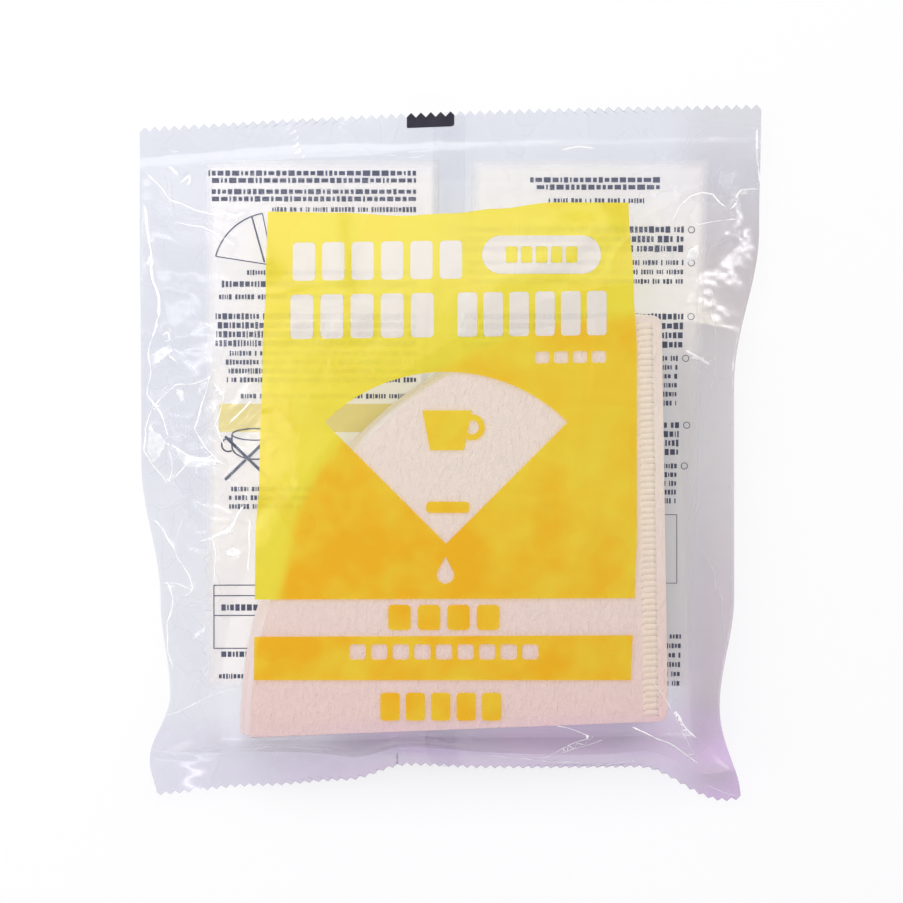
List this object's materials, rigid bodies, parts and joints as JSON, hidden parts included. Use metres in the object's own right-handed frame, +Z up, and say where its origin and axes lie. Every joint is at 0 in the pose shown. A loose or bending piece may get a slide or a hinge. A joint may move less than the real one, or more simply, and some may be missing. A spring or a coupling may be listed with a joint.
{
  "type": "pack of cone paper coffee filters",
  "caption": "Sealed clear film pillow pack holding a stack of flat-folded cone paper coffee filters, with a yellow printed panel on the front.",
  "frame": {"origin": "middle of the pack's outline, on the surface that it lies on", "axes": "+X across the pack, +Y along it towards the seal with the registration mark, +Z up out of its printed front"},
  "size_m": [0.1885, 0.2113, 0.0257],
  "materials": {
    "clear_film": "clear glossy plastic film, softly crumpled",
    "yellow_ink": "translucent yellow ink on film",
    "pale_ink": "translucent white ink on film",
    "dark_ink": "blue-black ink on film",
    "filter_paper": "matt creped filter paper"
  },
  "bodies": {
    "root": {"film_bag": "clear_film", "front_print": "yellow_ink", "back_print": "pale_ink", "registration_mark": "dark_ink", "front_filter": "filter_paper", "filter_stack": "filter_paper"}
  },
  "joints": []
}
